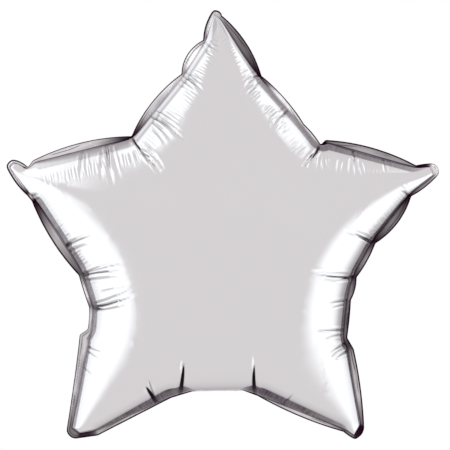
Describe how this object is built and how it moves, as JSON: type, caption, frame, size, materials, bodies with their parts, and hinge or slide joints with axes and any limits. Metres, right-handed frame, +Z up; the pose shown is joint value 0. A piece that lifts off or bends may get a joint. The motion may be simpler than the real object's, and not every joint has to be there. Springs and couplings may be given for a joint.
{
  "type": "star foil balloon",
  "caption": "Inflated star-shaped foil balloon: two metallised films heat-sealed round a scalloped border, with a folded filling tail and its one-way valve behind.",
  "frame": {"origin": "centre of the inflated envelope, in the plane of its border seal", "axes": "+Z up through the top tip, -Y out of the front dome, +X to the right seen from the front"},
  "size_m": [0.458, 0.17, 0.4554],
  "materials": {
    "foil": "mirror-bright metallised film, finely wrinkled at the seams",
    "seal": "heat-sealed metallised border, satin and crimped",
    "valve": "clear soft film, slightly milky"
  },
  "bodies": {
    "root": {"front_panel": "foil", "back_panel": "foil", "border_seal": "seal", "tail_inner_film": "foil", "tail_outer_film": "foil", "tail_seal_left": "seal", "tail_seal_right": "seal", "valve_inner_film": "valve", "valve_outer_film": "valve"}
  },
  "joints": []
}
